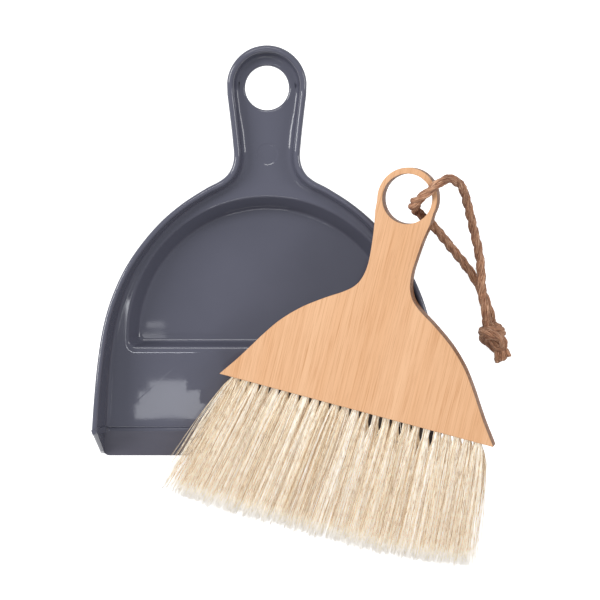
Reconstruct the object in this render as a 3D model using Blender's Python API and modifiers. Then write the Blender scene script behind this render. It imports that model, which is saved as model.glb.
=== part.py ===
"""A dustpan with a hand brush lying on it.

The pan is one thin moulding with a soft front lip. The brush is a wooden plate with two rows of
tufts set in drilled holes, and a loop of twisted cord through the hanging hole of its handle.
Metres, +Z up. The origin is on the table, under the middle of the pan's flat base, and +Y runs
from the lip to the pan's handle. Lengths below are in millimetres and are scaled as meshes are made.
"""

import math

import bmesh
import bpy
import numpy as np
from mathutils import Matrix, Vector

MM = 0.001

# Pan: one sheet of constant thickness.
PAN_WALL = 1.8
RIM_Z = 36.0  # top of the tray's rolled rim
CHANNEL_DEPTH = 11.0  # the handle's web lies this far below its rim
WALL_DRAFT = 0.14  # how far the wall leans out for each millimetre of height
ROLL_TRAY = 3.9  # width of the rolled rim round the tray
ROLL_HANDLE = 4.8
SKIRT = 1.2  # straight outer edge under the roll
FOOT_FILLET = 2.6
FOOT_FILLET_HANDLE = 4.5
FOOT_FILLET_SHARE = 0.6  # the most of the wall's height that the fillet takes
RIM_RISE_SOFTNESS = 2.0  # how gently the level rim turns up towards the handle
# Stretches of Y in which the rim turns up, its roll widens, and the handle's large fillet starts and ends.
RIM_RISE_Y = (20.0, 60.0)
ROLL_WIDENS_Y = (58.0, 84.0)
SHAFT_STARTS_Y = (70.0, 95.0)
SHAFT_ENDS_Y = (105.0, 125.0)
FLOOR_FRONT_Y = -104.4  # the ramp's front edge
FLOOR_FRONT_Z = 5.2
FLOOR_RISE = 0.1155  # slope of the ramp, the ledge and the handle's web
FIN_END = (-119.8, -121.5)  # the side wall slants down to here beside the lip
FIN_END_Z = 3.2
FIN_SKIRT_Z = 0.6  # lower edge of the fin's inner face
FIN_FOOT_X = 117.0  # the fin's inner face slants in to here, beside the lip's end
ROLL_FIN = 2.8
FIN_STATIONS = (1.0, 0.7, 0.35, 0.02)  # shares of the way along it, from its tip back to the ramp's edge
HEAD_CENTRE_Y = 139.0
HEAD_RADIUS = 28.1
PAN_HOLE_Y = 138.5
PAN_HOLE_RADIUS = 15.4
PAN_HOLE_FILLET = 2.2
PAN_HOLE_COLLAR = 5.0
# Left edge of the rim from the front corner to the handle's head, seen from above.
PAN_EDGE = [
    (-123.6, -104.4), (-122.4, -86.0), (-120.3, -62.0), (-117.4, -40.0), (-113.7, -22.5),
    (-108.0, -5.5), (-99.6, 12.0), (-88.4, 28.5), (-74.6, 44.2), (-59.6, 56.8), (-43.4, 67.2),
    (-32.6, 73.0), (-26.4, 79.0), (-23.4, 88.0), (-24.1, 101.0), (-26.0, 118.2), (-27.8, 133.0),
]

# Well: the sunk dome behind the ridge.
DOME_CENTRE_Y = -37.5
WELL_TOP_RADIUS = 99.5
WELL_TOP_FRONT_Y = -46.0
WELL_FLOOR_RADIUS = 92.5
WELL_FLOOR_FRONT_Y = -41.0
WELL_CORNER = 5.0
WELL_EDGE_FILLET = 1.9
WELL_FLOOR_FILLET = 2.2

# Soft lip.
LIP_HALF_WIDTH = 116.6
LIP_FRONT_Y = -123.1
LIP_FRONT_THICKNESS = 0.9
LIP_BACK_Y = -105.2
LIP_BACK_THICKNESS = 4.2
LIP_TONGUE_Y = -98.0
LIP_TONGUE_THICKNESS = 2.8
LIP_TONGUE_HALF_WIDTH = 108.0
LIP_CORNER = 4.5

# Brush: built flat, U across, V towards the handle, W up, then laid on the pan.
BRUSH_PLACE = (64.9, -87.2, 27.1)
BRUSH_YAW = -14.15  # degrees about +Z
BRUSH_TILT = 11.0  # degrees, its top leaning towards BRUSH_LEAN
BRUSH_LEAN = 198.0
BLOCK_THICKNESS = 18.0
BLOCK_EDGE_BEVEL = 2.4
RING_CENTRE_V = 152.2
RING_RADIUS = 21.0
RING_TOP_V = 174.0
HANGING_HOLE_RADIUS = 17.4
HANGING_HOLE_CLEARANCE = 5.0  # how far the hole's cutter stands out of each face
# Right edge of the plate from its tip to the ring.
BLOCK_EDGE = [
    (100.0, 0.0), (96.3, 5.2), (90.2, 13.6), (83.0, 24.6), (75.6, 36.2), (66.4, 48.6),
    (54.2, 60.6), (40.0, 71.0), (28.6, 78.2), (21.2, 84.4), (17.2, 92.0), (15.7, 102.0),
    (16.3, 114.0), (17.7, 127.0), (19.8, 139.0),
]

# Tufts: two rows of the same count, the back row set a little along from the front row.
TUFT_PITCH = 7.4
TUFTS_IN_ROW = 25
BACK_ROW_SHIFT = -1.4
ROW_OFFSET = 3.9
HOLE_RADIUS = 2.8
HOLE_DEPTH = 9.0
DRILL_CLEARANCE = 4.0  # how far the drill's cutter stands out of the edge
TUFT_ROOT_RADIUS = 2.5
TUFT_ROOT_DEPTH = 8.6
TUFT_FLARE_START = 0.5  # below the plate's edge
TUFT_MIDDLE = 0.45  # share of the length at which a middle section is set
TUFT_LENGTH = 86.0
TUFT_SIDES = 8
TUFT_TIP_HALF_WIDTH = 4.2
TUFT_TIP_HALF_DEPTH = 3.8
TIP_ROW_OFFSET = 4.2
FAN_SPREAD = 1.19  # tip pitch over root pitch
FAN_LEAN = -7.8  # the whole row of tips leans towards the low end

# Lanyard.
CORD_DIAMETER = 6.8
CORD_STEP = 6.0
HINGE_PLACE_U = 16.5  # the loop swings about a line through the ring's right limb, along V
HINGE_PLACE_W = 10.0
# From the knot up to the ring, round its right limb and back down to the knot.
CORD_ROUTE = [
    (157.2, -26.3, 11.0), (156.3, -21.8, 11.0), (154.9, -14.2, 11.1), (153.5, -6.2, 11.3),
    (152.9, 1.8, 11.9), (152.5, 9.8, 13.2), (151.5, 17.8, 15.2), (149.8, 25.9, 18.2),
    (147.6, 34.0, 22.4), (145.1, 42.6, 27.8), (142.6, 51.0, 34.0), (140.0, 58.8, 41.0),
    (137.2, 65.4, 48.8), (133.0, 70.2, 57.0), (127.2, 72.3, 64.2), (121.2, 70.6, 68.6),
    (115.4, 66.2, 69.4), (109.6, 61.6, 67.4), (104.8, 57.8, 61.6), (102.9, 54.8, 54.0),
    (104.2, 51.8, 45.6), (108.8, 48.0, 39.4), (114.8, 43.4, 36.2), (120.4, 37.6, 31.2),
    (126.0, 31.4, 24.8), (131.2, 25.6, 18.4), (136.3, 20.0, 12.6), (141.2, 14.4, 8.0),
    (145.6, 8.8, 5.0), (149.4, 3.0, 4.0), (152.6, -3.0, 3.8), (155.4, -8.8, 3.8),
    (157.8, -14.6, 3.8), (159.6, -20.4, 3.8), (160.8, -25.8, 3.8),
]
KNOT_CENTRE = (161.2, -37.2, 8.9)
KNOT_HEADING = (0.17, -0.985, 0.0)
KNOT_RADIUS = 8.6
KNOT_LENGTH = 22.0
KNOT_ROUNDING = 2.6
TAIL_CENTRE = (167.0, -50.6, 6.8)
TAIL_HEADING = (0.5, -0.866, -0.05)
TAIL_RADIUS = 5.8
TAIL_LENGTH = 15.0


def clear_scene():
    for obj in list(bpy.data.objects):
        bpy.data.objects.remove(obj, do_unlink=True)


def new_collection(name):
    collection = bpy.data.collections.new(name)
    bpy.context.scene.collection.children.link(collection)
    return collection


def material(name, colour, roughness, metallic=0.0):
    made = bpy.data.materials.new(name)
    made.use_nodes = True
    shader = made.node_tree.nodes["Principled BSDF"]
    shader.inputs["Base Color"].default_value = (*colour, 1.0)
    shader.inputs["Roughness"].default_value = roughness
    shader.inputs["Metallic"].default_value = metallic
    made.diffuse_color = (*colour, 1.0)
    return made


def add_object(name, bm, collection, finish=None, sharp_degrees=35):
    mesh = bpy.data.meshes.new(name)
    bm.to_mesh(mesh)
    bm.free()
    mesh.shade_smooth()
    mesh.set_sharp_from_angle(angle=math.radians(sharp_degrees))
    obj = bpy.data.objects.new(name, mesh)
    collection.objects.link(obj)
    if finish:
        mesh.materials.append(finish)
    return obj


def hide_cutter(obj):
    obj.hide_render = True
    obj.display_type = "WIRE"


def add_empty(name, matrix, collection):
    empty = bpy.data.objects.new(name, None)
    empty.empty_display_size = 0.02
    empty.matrix_world = matrix
    collection.objects.link(empty)
    return empty


def smooth_curve(points, per_span):
    """A Catmull-Rom curve through the points, with per_span samples to each span."""
    p = np.array(points, float)
    p = np.vstack([2 * p[0] - p[1], p, 2 * p[-1] - p[-2]])
    samples = []
    for a, b, c, d in zip(p, p[1:], p[2:], p[3:]):
        for k in range(per_span):
            t = k / per_span
            samples.append(
                0.5 * (2 * b + (c - a) * t + (2 * a - 5 * b + 4 * c - d) * t**2
                       + (3 * b - a - 3 * c + d) * t**3)
            )
    samples.append(p[-2])
    return np.array(samples)


def even_steps(path, step):
    """The path read again at even distances of about one step."""
    lengths = np.linalg.norm(np.diff(path, axis=0), axis=1)
    along = np.concatenate([[0.0], np.cumsum(lengths)])
    at = np.linspace(0.0, along[-1], max(2, round(along[-1] / step)) + 1)
    return np.column_stack([np.interp(at, along, path[:, axis]) for axis in range(path.shape[1])])


def fillet(start, corner, end, parts):
    """A rounded corner as a quadratic curve in parts steps. Rows of points work as single ones."""
    steps = [k / parts for k in range(parts + 1)]
    return [(1 - t) ** 2 * start + 2 * t * (1 - t) * corner + t**2 * end for t in steps]


def floor_z(y):
    return FLOOR_FRONT_Z + FLOOR_RISE * (y - FLOOR_FRONT_Y)


def on_floor(xy):
    """The points of a plan on the sloping plane of the ramp, the ledge and the handle's web."""
    return np.column_stack([xy, floor_z(xy[:, 1])])


def blend(y, low, high):
    t = np.clip((y - low) / (high - low), 0.0, 1.0)
    return t * t * (3 - 2 * t)


def pan_outline():
    """(plan points, number of fin stations) of the rim, from the front left round to the front right."""
    corner = np.array(PAN_EDGE[0])
    fin = np.array([corner + share * (np.array(FIN_END) - corner) for share in FIN_STATIONS])
    side = smooth_curve(PAN_EDGE, 2)
    angles = np.radians(np.linspace(176, 90, 9))
    head = np.column_stack([HEAD_RADIUS * np.cos(angles), HEAD_CENTRE_Y + HEAD_RADIUS * np.sin(angles)])
    left = np.vstack([fin, side, head])
    right = left[-2::-1] * (-1, 1)
    return np.vstack([left, right]), len(fin)


def inward_normals(outline):
    ahead = np.gradient(outline, axis=0)
    normals = np.column_stack([ahead[:, 1], -ahead[:, 0]])
    return normals / np.linalg.norm(normals, axis=1)[:, None]


def rim_and_wall_rows():
    """(rows from the rim's outer edge over its roll and down the wall, rows of the fillet that
    joins the wall to the floor, the stretch that has this fillet). The fins have no floor."""
    outline, fins = pan_outline()
    y = outline[:, 1]
    count = len(outline)
    fin = np.zeros(count)
    fin[:fins] = FIN_STATIONS
    fin = np.maximum(fin, fin[::-1])[:, None]
    is_fin = (fin[:, 0] > 0)[:, None]
    normals = inward_normals(outline)
    normals = np.where(is_fin, np.column_stack([-np.sign(outline[:, 0]), np.zeros(count)]), normals)
    handle = blend(y, *ROLL_WIDENS_Y)[:, None]
    raised = floor_z(y) + CHANNEL_DEPTH - RIM_Z
    top = RIM_Z + 0.5 * (raised + np.sqrt(raised**2 + RIM_RISE_SOFTNESS**2)) * blend(y, *RIM_RISE_Y)
    top = top[:, None] * (1 - fin) + FIN_END_Z * fin
    width = ROLL_TRAY + (ROLL_HANDLE - ROLL_TRAY) * handle + (ROLL_FIN - ROLL_TRAY) * fin
    shaft = (blend(y, *SHAFT_STARTS_Y) * (1 - blend(y, *SHAFT_ENDS_Y)))[:, None]
    rounding = FOOT_FILLET + (FOOT_FILLET_HANDLE - FOOT_FILLET) * shaft

    def point(inset, z):
        return np.column_stack([outline + normals * inset, z])

    radius = width / 2
    rows = [point(0 * width, top - radius - np.minimum(SKIRT, radius * (1 - fin)))]
    for angle in np.radians([0, 45, 90, 135, 180]):
        rows.append(point(radius * (1 - math.cos(angle)), top - radius + radius * math.sin(angle)))
    height = top - radius - floor_z(y)[:, None]
    draft = width + WALL_DRAFT * np.maximum(height, 0.0)
    foot = point(np.where(is_fin, np.abs(outline[:, :1]) - FIN_FOOT_X, draft), top)
    foot[:, 2] = floor_z(foot[:, 1]) * (1 - fin[:, 0]) + FIN_SKIRT_Z * fin[:, 0]
    wall = rows[-1] - foot
    length = np.linalg.norm(wall, axis=1)[:, None]
    start = foot + wall / length * np.minimum(rounding, FOOT_FILLET_SHARE * length) * ~is_fin
    inner = foot + np.column_stack([normals * rounding, 0 * top])
    inner[:, 2] = floor_z(inner[:, 1])
    tray = slice(fins, count - fins)
    rounded = fillet(start, foot, inner, 3)
    return rows + rounded[:1], [row[tray] for row in rounded[1:]], tray


def dome_loop(radius, front_y, corner):
    """A closed plan: a large arc that ends in a straight front, with rounded corners between them."""
    reach = radius - corner
    rise = front_y + corner - DOME_CENTRE_Y
    turn_x = math.sqrt(reach**2 - rise**2)
    low = math.atan2(rise, turn_x)
    points = [(turn_x * k / 6, front_y) for k in range(-6, 6)]
    for angle in np.linspace(-math.pi / 2, low, 5)[:-1]:
        points.append((turn_x + corner * math.cos(angle), front_y + corner + corner * math.sin(angle)))
    for angle in np.linspace(low, math.pi - low, 37)[:-1]:
        points.append((radius * math.cos(angle), DOME_CENTRE_Y + radius * math.sin(angle)))
    for angle in np.linspace(math.pi - low, 1.5 * math.pi, 5)[:-1]:
        points.append((-turn_x + corner * math.cos(angle), front_y + corner + corner * math.sin(angle)))
    return np.array(points)


def well_rows():
    """Closed rows from the ledge over the well's edge, down its wall and onto its flat floor."""
    edge = WELL_EDGE_FILLET
    outer = on_floor(dome_loop(WELL_TOP_RADIUS + edge, WELL_TOP_FRONT_Y - edge, WELL_CORNER + edge))
    top = on_floor(dome_loop(WELL_TOP_RADIUS, WELL_TOP_FRONT_Y, WELL_CORNER))
    low = dome_loop(WELL_FLOOR_RADIUS, WELL_FLOOR_FRONT_Y, WELL_CORNER)
    low = np.column_stack([low, np.full(len(low), PAN_WALL)])
    inside = WELL_FLOOR_FILLET
    flat = dome_loop(WELL_FLOOR_RADIUS - inside, WELL_FLOOR_FRONT_Y + inside, WELL_CORNER - inside)
    flat = np.column_stack([flat, np.full(len(flat), PAN_WALL)])
    wall = low - top
    unit = wall / np.linalg.norm(wall, axis=1)[:, None]
    return fillet(outer, top, top + unit * edge, 3) + fillet(low - unit * inside, low, flat, 3)


def hanging_hole_rows():
    """Closed rows from the web over the hole's edge and down its collar."""
    angles = np.radians(np.arange(0, 360, 15))

    def circle(radius, drop):
        xy = np.column_stack([radius * np.cos(angles), PAN_HOLE_Y + radius * np.sin(angles)])
        return on_floor(xy) - (0, 0, drop)

    wide = PAN_HOLE_RADIUS + PAN_HOLE_FILLET
    rounded = fillet(circle(wide, 0), circle(PAN_HOLE_RADIUS, 0), circle(PAN_HOLE_RADIUS, PAN_HOLE_FILLET), 3)
    return rounded + [circle(PAN_HOLE_RADIUS, PAN_HOLE_COLLAR)]


def add_strip(bm, rows, closed, onto=None):
    """Quads between neighbouring rows of points, starting from the vertices of onto if it is given.
    Returns the rows of vertices."""
    grid = [onto] if onto else []
    grid += [[bm.verts.new(Vector(p) * MM) for p in row] for row in rows]
    for near, far in zip(grid, grid[1:]):
        last = len(near) if closed else len(near) - 1
        for k in range(last):
            n = (k + 1) % len(near)
            bm.faces.new((near[k], near[n], far[n], far[k]))
    return grid


def ring_edges(bm, verts, closed):
    pairs = zip(verts, verts[1:] + verts[:1] if closed else verts[1:])
    return [bm.edges.get(pair) or bm.edges.new(pair) for pair in pairs]


def make_pan_shell(collection, finish):
    bm = bmesh.new()
    wall, rounded, tray = rim_and_wall_rows()
    wall_foot = add_strip(bm, wall, closed=False)[-1]
    foot = add_strip(bm, rounded, closed=False, onto=wall_foot[tray])[-1]
    well = add_strip(bm, well_rows(), closed=True)
    hole = add_strip(bm, hanging_hole_rows(), closed=True)
    bm.faces.new(well[-1])
    around = ring_edges(bm, foot, closed=True)
    around += ring_edges(bm, well[0], closed=True) + ring_edges(bm, hole[0], closed=True)
    bmesh.ops.triangle_fill(bm, edges=around, use_beauty=True, normal=(0, 0, 1))
    bmesh.ops.recalc_face_normals(bm, faces=bm.faces)
    bm.normal_update()
    largest = max(bm.faces, key=lambda face: face.calc_area())
    if largest.normal.z < 0:
        bmesh.ops.reverse_faces(bm, faces=bm.faces)
    shell = add_object("dustpan_shell", bm, collection, finish)
    thick = shell.modifiers.new("moulding_thickness", "SOLIDIFY")
    thick.thickness = PAN_WALL * MM
    thick.offset = -1.0
    thick.use_even_offset = True
    return shell


def lip_profile():
    """(y, z) round the lip's section: a wedge with a tongue that runs under the ramp's edge."""
    return [
        (LIP_FRONT_Y, 0.0), (LIP_FRONT_Y, LIP_FRONT_THICKNESS), (LIP_BACK_Y, LIP_BACK_THICKNESS),
        (LIP_BACK_Y, LIP_TONGUE_THICKNESS), (LIP_TONGUE_Y, LIP_TONGUE_THICKNESS), (LIP_TONGUE_Y, 0.0),
    ]


def make_front_lip(collection, cutters, finish):
    bm = bmesh.new()
    ends = [[bm.verts.new(Vector((x, y, z)) * MM) for y, z in lip_profile()]
            for x in (-LIP_HALF_WIDTH, LIP_HALF_WIDTH)]
    bm.faces.new(ends[0])
    bm.faces.new(ends[1][::-1])
    for k in range(len(ends[0])):
        n = (k + 1) % len(ends[0])
        bm.faces.new((ends[0][n], ends[0][k], ends[1][k], ends[1][n]))
    bmesh.ops.recalc_face_normals(bm, faces=bm.faces)
    lip = add_object("front_lip", bm, collection, finish)
    plan = make_lip_plan(cutters)
    keep = lip.modifiers.new("rounded_corners", "BOOLEAN")
    keep.operation = "INTERSECT"
    keep.object = plan
    keep.solver = "EXACT"
    return lip


def make_lip_plan(cutters):
    """A prism with the lip's plan: a narrower tongue at the back, and rounded front corners."""
    back, clear = LIP_TONGUE_Y + 5, LIP_HALF_WIDTH + 1
    edge, front = LIP_HALF_WIDTH - LIP_CORNER, LIP_FRONT_Y + LIP_CORNER
    points = [(LIP_TONGUE_HALF_WIDTH, back), (-LIP_TONGUE_HALF_WIDTH, back),
              (-LIP_TONGUE_HALF_WIDTH, LIP_BACK_Y), (-clear, LIP_BACK_Y), (-clear, front)]
    for side, first in ((-1, 180), (1, 270)):
        for angle in np.radians(np.linspace(first, first + 90, 6)):
            points.append((side * edge + LIP_CORNER * math.cos(angle), front + LIP_CORNER * math.sin(angle)))
    points += [(clear, front), (clear, LIP_BACK_Y), (LIP_TONGUE_HALF_WIDTH, LIP_BACK_Y)]
    return make_prism("lip_plan", points, -5.0, 20.0, cutters)


def make_prism(name, plan, low, high, collection, finish=None):
    """A solid with this plan, from low to high. It is a cutter if it has no finish."""
    bm = bmesh.new()
    base = bm.faces.new([bm.verts.new(Vector((x, y, low)) * MM) for x, y in plan])
    raised = bmesh.ops.extrude_face_region(bm, geom=[base])["geom"]
    verts = [item for item in raised if isinstance(item, bmesh.types.BMVert)]
    bmesh.ops.translate(bm, verts=verts, vec=(0, 0, (high - low) * MM))
    bmesh.ops.recalc_face_normals(bm, faces=bm.faces)
    prism = add_object(name, bm, collection, finish)
    if finish is None:
        hide_cutter(prism)
    return prism


def make_cylinder(name, radius, start, end, segments, collection):
    """A closed cylinder between two points, as a cutter."""
    start, end = Vector(start), Vector(end)
    bm = bmesh.new()
    bmesh.ops.create_cone(bm, cap_ends=True, segments=segments, radius1=radius * MM, radius2=radius * MM,
                          depth=(end - start).length * MM)
    turn = (end - start).to_track_quat("Z", "Y").to_matrix().to_4x4()
    bmesh.ops.transform(bm, matrix=Matrix.Translation((start + end) / 2 * MM) @ turn, verts=bm.verts)
    cylinder = add_object(name, bm, collection)
    hide_cutter(cylinder)
    return cylinder


def brush_matrix():
    """Where the brush's own frame lies: turned, then tipped about a level line under it."""
    lean = math.radians(BRUSH_LEAN)
    level = Vector((-math.sin(lean), math.cos(lean), 0))
    tip = Matrix.Rotation(math.radians(BRUSH_TILT), 4, level)
    yaw = Matrix.Rotation(math.radians(BRUSH_YAW), 4, "Z")
    return Matrix.Translation(Vector(BRUSH_PLACE) * MM) @ tip @ yaw


def block_plan():
    right = smooth_curve(BLOCK_EDGE, 2)
    angles = np.radians(np.linspace(-15, 90, 12))
    rise = RING_TOP_V - RING_CENTRE_V
    ring = np.column_stack([RING_RADIUS * np.cos(angles),
                            RING_CENTRE_V + np.where(angles > 0, rise, RING_RADIUS) * np.sin(angles)])
    half = np.vstack([right, ring])
    return np.vstack([half, half[-2::-1] * (-1, 1)])


def make_brush_block(collection, cutters, finish, frame):
    block = make_prism("brush_block", block_plan(), 0.0, BLOCK_THICKNESS, collection, finish)
    below, above = -HANGING_HOLE_CLEARANCE, BLOCK_THICKNESS + HANGING_HOLE_CLEARANCE
    hole = make_cylinder("hanging_hole", HANGING_HOLE_RADIUS, (0, RING_CENTRE_V, below),
                         (0, RING_CENTRE_V, above), 40, cutters)
    add_boolean(block, "hanging_hole", hole)
    soften = block.modifiers.new("soft_edges", "BEVEL")
    soften.width = BLOCK_EDGE_BEVEL * MM
    soften.segments = 2
    soften.limit_method = "ANGLE"
    soften.angle_limit = math.radians(40)
    drill = drill_cutter(cutters)
    add_boolean(block, "tuft_holes", drill)
    for obj in (block, hole, drill):
        obj.parent = frame
    return block


def add_boolean(obj, name, cutter):
    cut = obj.modifiers.new(name, "BOOLEAN")
    cut.operation = "DIFFERENCE"
    cut.object = cutter
    cut.solver = "EXACT"


def tuft_roots():
    """(row, number, u, w) of every tuft."""
    middle = BLOCK_THICKNESS / 2
    roots = []
    for row, shift, side in (("front", 0.0, 1), ("back", BACK_ROW_SHIFT, -1)):
        for k in range(TUFTS_IN_ROW):
            u = (k - (TUFTS_IN_ROW - 1) / 2) * TUFT_PITCH + shift
            roots.append((row, k + 1, u, middle + side * ROW_OFFSET))
    return roots


def drill_cutter(cutters):
    """All the drilled holes as one mesh of separate cylinders."""
    bm = bmesh.new()
    for _, _, u, w in tuft_roots():
        place = Matrix.Translation(Vector((u, (HOLE_DEPTH - DRILL_CLEARANCE) / 2, w)) * MM)
        bmesh.ops.create_cone(bm, cap_ends=True, segments=10, radius1=HOLE_RADIUS * MM,
                              radius2=HOLE_RADIUS * MM, depth=(HOLE_DEPTH + DRILL_CLEARANCE) * MM,
                              matrix=place @ Matrix.Rotation(math.pi / 2, 4, "X"))
    drill = add_object("tuft_drill", bm, cutters)
    hide_cutter(drill)
    return drill


def make_tuft(name, u, w, collection, finish, frame):
    """A round root that flares into a flattened bundle. Tips spread sideways as the rows fan out."""
    side = 1 if w > BLOCK_THICKNESS / 2 else -1
    angles = [2 * math.pi * (k + 0.5) / TUFT_SIDES for k in range(TUFT_SIDES)]
    stations = ((TUFT_ROOT_DEPTH, 0.0), (-TUFT_FLARE_START, 0.0),
                (-TUFT_LENGTH * TUFT_MIDDLE, TUFT_MIDDLE), (-TUFT_LENGTH, 1.0))
    rings = []
    for v, spread in stations:
        at_u = u + spread * (u * (FAN_SPREAD - 1) + FAN_LEAN)
        at_w = BLOCK_THICKNESS / 2 + side * (ROW_OFFSET + spread * (TIP_ROW_OFFSET - ROW_OFFSET))
        half_u = TUFT_ROOT_RADIUS + spread * (TUFT_TIP_HALF_WIDTH - TUFT_ROOT_RADIUS)
        half_w = TUFT_ROOT_RADIUS + spread * (TUFT_TIP_HALF_DEPTH - TUFT_ROOT_RADIUS)
        rings.append([(at_u + half_u * math.cos(a), v, at_w + half_w * math.sin(a)) for a in angles])
    bm = bmesh.new()
    grid = add_strip(bm, rings, closed=True)
    bm.faces.new(grid[0])
    bm.faces.new(grid[-1])
    bmesh.ops.recalc_face_normals(bm, faces=bm.faces)
    tuft = add_object(name, bm, collection, finish)
    tuft.parent = frame
    return tuft


def make_cord(collection, finish):
    """The free length of the lanyard, as a plain tube."""
    path = even_steps(smooth_curve(CORD_ROUTE, 12), CORD_STEP)
    data = bpy.data.curves.new("lanyard_cord", "CURVE")
    data.dimensions = "3D"
    data.bevel_depth = CORD_DIAMETER / 2 * MM
    data.bevel_resolution = 2
    data.use_fill_caps = True
    spline = data.splines.new("POLY")
    spline.points.add(len(path) - 1)
    for point, place in zip(spline.points, path):
        point.co = (*(place * MM), 1.0)
    data.materials.append(finish)
    cord = bpy.data.objects.new("lanyard_cord", data)
    collection.objects.link(cord)
    return cord


def make_knot(collection, cutters, finish):
    """The outer shape of the overhand knot, with its two cut tails as one stub."""
    centre, heading = Vector(KNOT_CENTRE), Vector(KNOT_HEADING).normalized()
    half = heading * KNOT_LENGTH / 2
    body = make_cylinder("lanyard_knot", KNOT_RADIUS, centre - half, centre + half, 16, collection)
    body.hide_render = False
    body.display_type = "TEXTURED"
    body.data.materials.append(finish)
    rounded = body.modifiers.new("rounded_ends", "BEVEL")
    rounded.width = KNOT_ROUNDING * MM
    rounded.segments = 2
    rounded.limit_method = "ANGLE"
    rounded.angle_limit = math.radians(60)
    tail_centre, tail_heading = Vector(TAIL_CENTRE), Vector(TAIL_HEADING).normalized()
    reach = tail_heading * TAIL_LENGTH / 2
    tail = make_cylinder("tail_stub", TAIL_RADIUS, tail_centre - reach, tail_centre + reach, 12, cutters)
    join = body.modifiers.new("tails", "BOOLEAN")
    join.operation = "UNION"
    join.object = tail
    join.solver = "EXACT"
    return body


def keep_place(obj, parent):
    """Parents the object without moving it."""
    obj.parent = parent
    obj.matrix_parent_inverse = parent.matrix_world.inverted()


def main():
    clear_scene()
    parts = new_collection("dustpan_and_brush")
    cutters = new_collection("cutters")
    plastic = material("slate_plastic", (0.105, 0.105, 0.135), 0.28)
    rubber = material("slate_soft_lip", (0.100, 0.098, 0.130), 0.55)
    wood = material("pale_wood", (0.80, 0.50, 0.30), 0.45)
    bristle = material("cream_bristle", (0.86, 0.76, 0.58), 0.60)
    jute = material("brown_jute", (0.36, 0.19, 0.10), 0.90)

    make_pan_shell(parts, plastic)
    make_front_lip(parts, cutters, rubber)

    placed = brush_matrix()
    brush = add_empty("brush_frame", placed, parts)
    make_brush_block(parts, cutters, wood, brush)
    for row, number, u, w in tuft_roots():
        make_tuft(f"tuft_{row}_{number:02d}", u, w, parts, bristle, brush)

    limb = placed @ (Vector((HINGE_PLACE_U, RING_CENTRE_V, HINGE_PLACE_W)) * MM)
    swing = add_empty("lanyard_swing", Matrix.Translation(limb) @ placed.to_3x3().to_4x4(), parts)
    bpy.context.view_layer.update()
    keep_place(swing, brush)
    bpy.context.view_layer.update()
    for obj in (make_cord(parts, jute), make_knot(parts, cutters, jute)):
        keep_place(obj, swing)


main()
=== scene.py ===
"""The looks of the dustpan and its hand brush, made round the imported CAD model.

The pan and its lip are made again as finer surfaces, the brush's plate gets round edges and wood
grain, each tuft becomes over a hundred bristles, and the lanyard becomes a three-ply jute cord
with a real knot. +Z is up. Lengths are in millimetres, and are scaled to metres as meshes are
made. Only the lights and the table are given in metres.
"""

import math

import bmesh
import bpy
import numpy as np
from mathutils import Matrix, Vector


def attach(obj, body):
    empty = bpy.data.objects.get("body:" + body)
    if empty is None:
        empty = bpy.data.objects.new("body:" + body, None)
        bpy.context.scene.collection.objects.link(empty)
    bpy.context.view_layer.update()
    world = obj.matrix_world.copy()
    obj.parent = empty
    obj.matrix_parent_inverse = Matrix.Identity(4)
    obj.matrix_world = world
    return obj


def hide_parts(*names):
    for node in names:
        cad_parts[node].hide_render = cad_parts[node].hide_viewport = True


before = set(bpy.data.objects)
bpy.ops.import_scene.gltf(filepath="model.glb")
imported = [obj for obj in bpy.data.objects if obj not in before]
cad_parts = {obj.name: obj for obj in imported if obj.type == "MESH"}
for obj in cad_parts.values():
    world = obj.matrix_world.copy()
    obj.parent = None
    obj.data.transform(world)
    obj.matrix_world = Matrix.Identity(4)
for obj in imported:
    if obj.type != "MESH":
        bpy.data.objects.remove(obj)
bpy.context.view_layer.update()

MM = 0.001
SEED = 7

# Camera: straight above, a little right of the pan's middle.
CAMERA_PLACE = (23.26, -11.2, 1600.0)
SENSOR_WIDTH = 36.0
VIEW_WIDTH = 432.0  # what it sees across at the height of the table

# Table and lights, in metres. A softbox has a place, a width, a height and a brightness.
TABLE_HALF = 8.0
TABLE_GREY = 0.62
TABLE_GLOW = 0.95
LIGHTS_AIM = (0, 0, 0.02)
SOFTBOXES = {
    "softbox_left": ((-1.5, 0.35, 1.35), 0.75, 1.0, 9.4),
    "softbox_right": ((1.6, 0.2, 1.3), 0.6, 0.8, 6.5),
    "softbox_back": ((-0.2, 0.95, 1.8), 1.1, 0.5, 6.0),
    "softbox_front": ((0.1, -1.7, 1.5), 0.8, 0.25, 7.0),
}
# Small lights that point down: x, y, width, height and brightness. The ramp mirrors the first
# three, the well's floor the next two, and the ridge between them the last.
MIRRORED_LIGHTS = (
    (-0.166, -0.497, 0.052, 0.020, 3.8), (-0.163, -0.514, 0.088, 0.022, 3.8),
    (-0.162, -0.533, 0.102, 0.022, 3.8), (-0.180, -0.046, 0.026, 0.009, 2.6),
    (-0.184, -0.064, 0.036, 0.010, 2.6), (-0.174, -0.3975, 0.096, 0.060, 10.0),
)
MIRRORED_LIGHT_Z = 1.54
MIRRORED_LIGHT_COLOUR = (0.93, 0.95, 1.0)
SKY_COLOUR = (0.95, 0.97, 1.0)
SKY_STRENGTH = 0.42

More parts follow.
